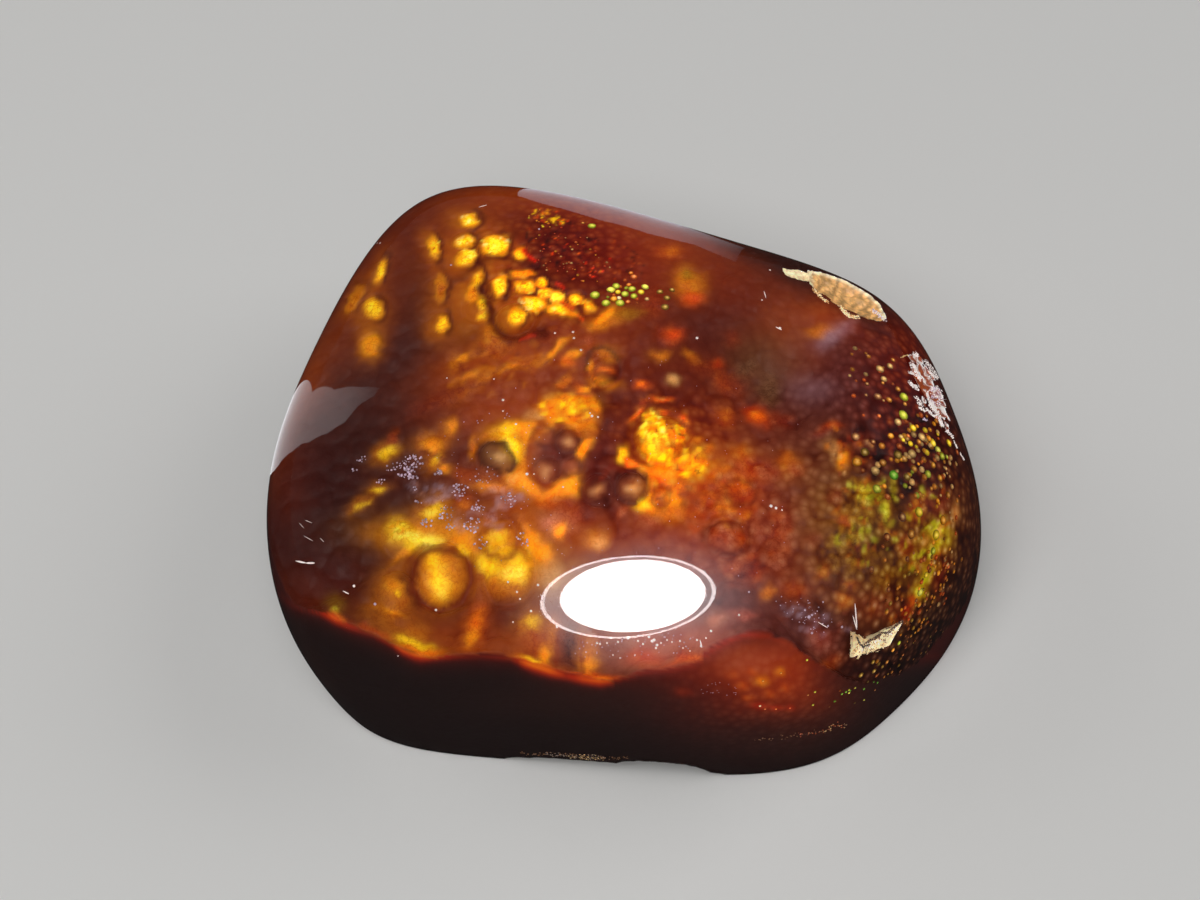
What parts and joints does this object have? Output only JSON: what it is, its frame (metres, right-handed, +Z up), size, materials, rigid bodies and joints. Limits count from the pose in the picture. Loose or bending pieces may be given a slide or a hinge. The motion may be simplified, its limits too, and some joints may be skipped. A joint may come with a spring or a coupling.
{
  "type": "fire agate specimen",
  "caption": "Polished freeform fire agate pebble: a domed brown stone on a flat sawn base, with small chips in its rim.",
  "frame": {"origin": "on the resting plane, under the middle of the stone's bounding box", "axes": "+X along the long side of the outline, towards the speckled right end; +Y to the back; +Z up through the dome"},
  "size_m": [0.026, 0.0224, 0.0106],
  "materials": {
    "polished_agate": "polished"
  },
  "bodies": {
    "root": {"fire_agate": "polished_agate"}
  },
  "joints": []
}
